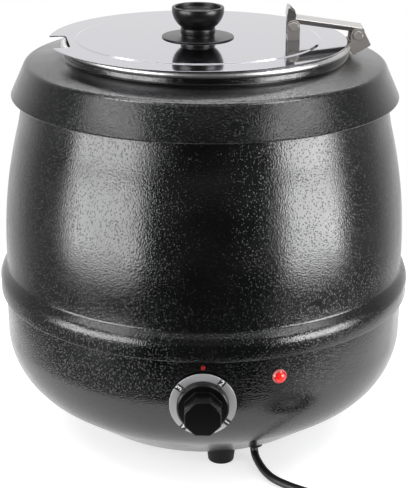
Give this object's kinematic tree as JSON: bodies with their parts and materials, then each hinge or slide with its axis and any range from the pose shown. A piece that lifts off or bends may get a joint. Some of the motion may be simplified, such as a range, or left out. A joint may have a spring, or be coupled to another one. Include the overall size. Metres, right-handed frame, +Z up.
{
  "type": "soup kettle",
  "caption": "Countertop wet-heat soup kettle: round black body, lift-out steel pot, hinged notched lid with knob, turning heat control, pilot lamp and mains cord.",
  "frame": {"origin": "on the kettle's axis, in the plane that the feet stand on", "axes": "+Z up, -Y out of the front through the control knob, +X towards the lid's hinge"},
  "size_m": [0.3639, 0.4585, 0.3583],
  "materials": {
    "enamel": "black textured powder coat, semi-gloss",
    "polished_steel": "mirror polished stainless sheet",
    "pot_steel": "bright stainless",
    "hinge_steel": "satin stainless",
    "fastener_steel": "zinc plated",
    "black_plastic": "moulded, glossy",
    "dial_metal": "silver with plain printed numbers",
    "red_lens": "translucent red",
    "heater_steel": "dull",
    "well_aluminium": "plain drawn sheet",
    "copper_alloy": "plain",
    "white_plastic": "plain",
    "dark_plastic": "plain",
    "black_rubber": "matt",
    "cord_jacket": "satin"
  },
  "bodies": {
    "base": {"lower_pan": "enamel", "upper_shell": "enamel", "top_collar": "enamel", "base_cover": "enamel", "water_well": "well_aluminium", "thermostat_body": "dark_plastic", "thermostat_screws": "fastener_steel", "sensor_bulb": "copper_alloy", "bulb_clip": "fastener_steel", "capillary_tube": "copper_alloy", "index_pip": "red_lens", "pilot_lamp_lens": "red_lens", "pilot_lamp_body": "white_plastic", "pilot_lamp_nut": "white_plastic", "heating_element": "heater_steel", "heater_stud": "fastener_steel", "heater_clamp_bar": "fastener_steel", "heater_clamp_nut": "fastener_steel", "thermal_cutout": "dark_plastic", "terminal_block": "white_plastic", "earth_stud": "fastener_steel", "earth_nut": "fastener_steel", "inner_wires": "white_plastic", "foot_1": "black_rubber", "foot_2": "black_rubber", "foot_3": "black_rubber", "foot_screws": "fastener_steel", "foot_nuts": "fastener_steel", "base_screws": "fastener_steel", "cord_bushing": "black_rubber", "cord_tail": "cord_jacket", "mains_cord": "cord_jacket", "cord_coil": "cord_jacket", "cord_tie": "dark_plastic", "plug_lead": "cord_jacket", "mains_plug": "black_rubber", "plug_pins": "copper_alloy"},
    "pot": {"inner_pot": "pot_steel", "rim_clip": "hinge_steel", "rim_hinge_pin": "hinge_steel"},
    "arm": {"hinge_arm": "hinge_steel"},
    "lid": {"lid": "polished_steel", "lid_knob": "black_plastic", "lid_knob_skirt": "black_plastic", "lid_knob_screw": "fastener_steel", "lid_hinge_bracket": "hinge_steel", "bracket_rivets": "hinge_steel", "lid_hinge_pin": "hinge_steel"},
    "knob": {"control_knob": "black_plastic", "dial_plate": "dial_metal", "thermostat_shaft": "fastener_steel"}
  },
  "joints": [
    {"name": "pot_lift", "type": "slide", "parent": "base", "child": "pot", "axis": [0, 0, 1], "range_m": [0, 0.26]},
    {"name": "lid_arm", "type": "hinge", "parent": "pot", "child": "arm", "pos_m": [0.1204, 0, 0.3365], "axis": [0, 1, 0], "range_deg": [0, 98]},
    {"name": "lid_tilt", "type": "hinge", "parent": "arm", "child": "lid", "pos_m": [0.0695, 0, 0.3432], "axis": [0, 1, 0], "range_deg": [0, 8]},
    {"name": "knob_turn", "type": "hinge", "parent": "base", "child": "knob", "pos_m": [0, -0.17, 0.092], "axis": [0, -1, 0], "range_deg": [-142, 128]}
  ],
  "couplings": [
    {"joint": "lid_tilt", "follows": "lid_arm", "ratio": 0.08}
  ]
}
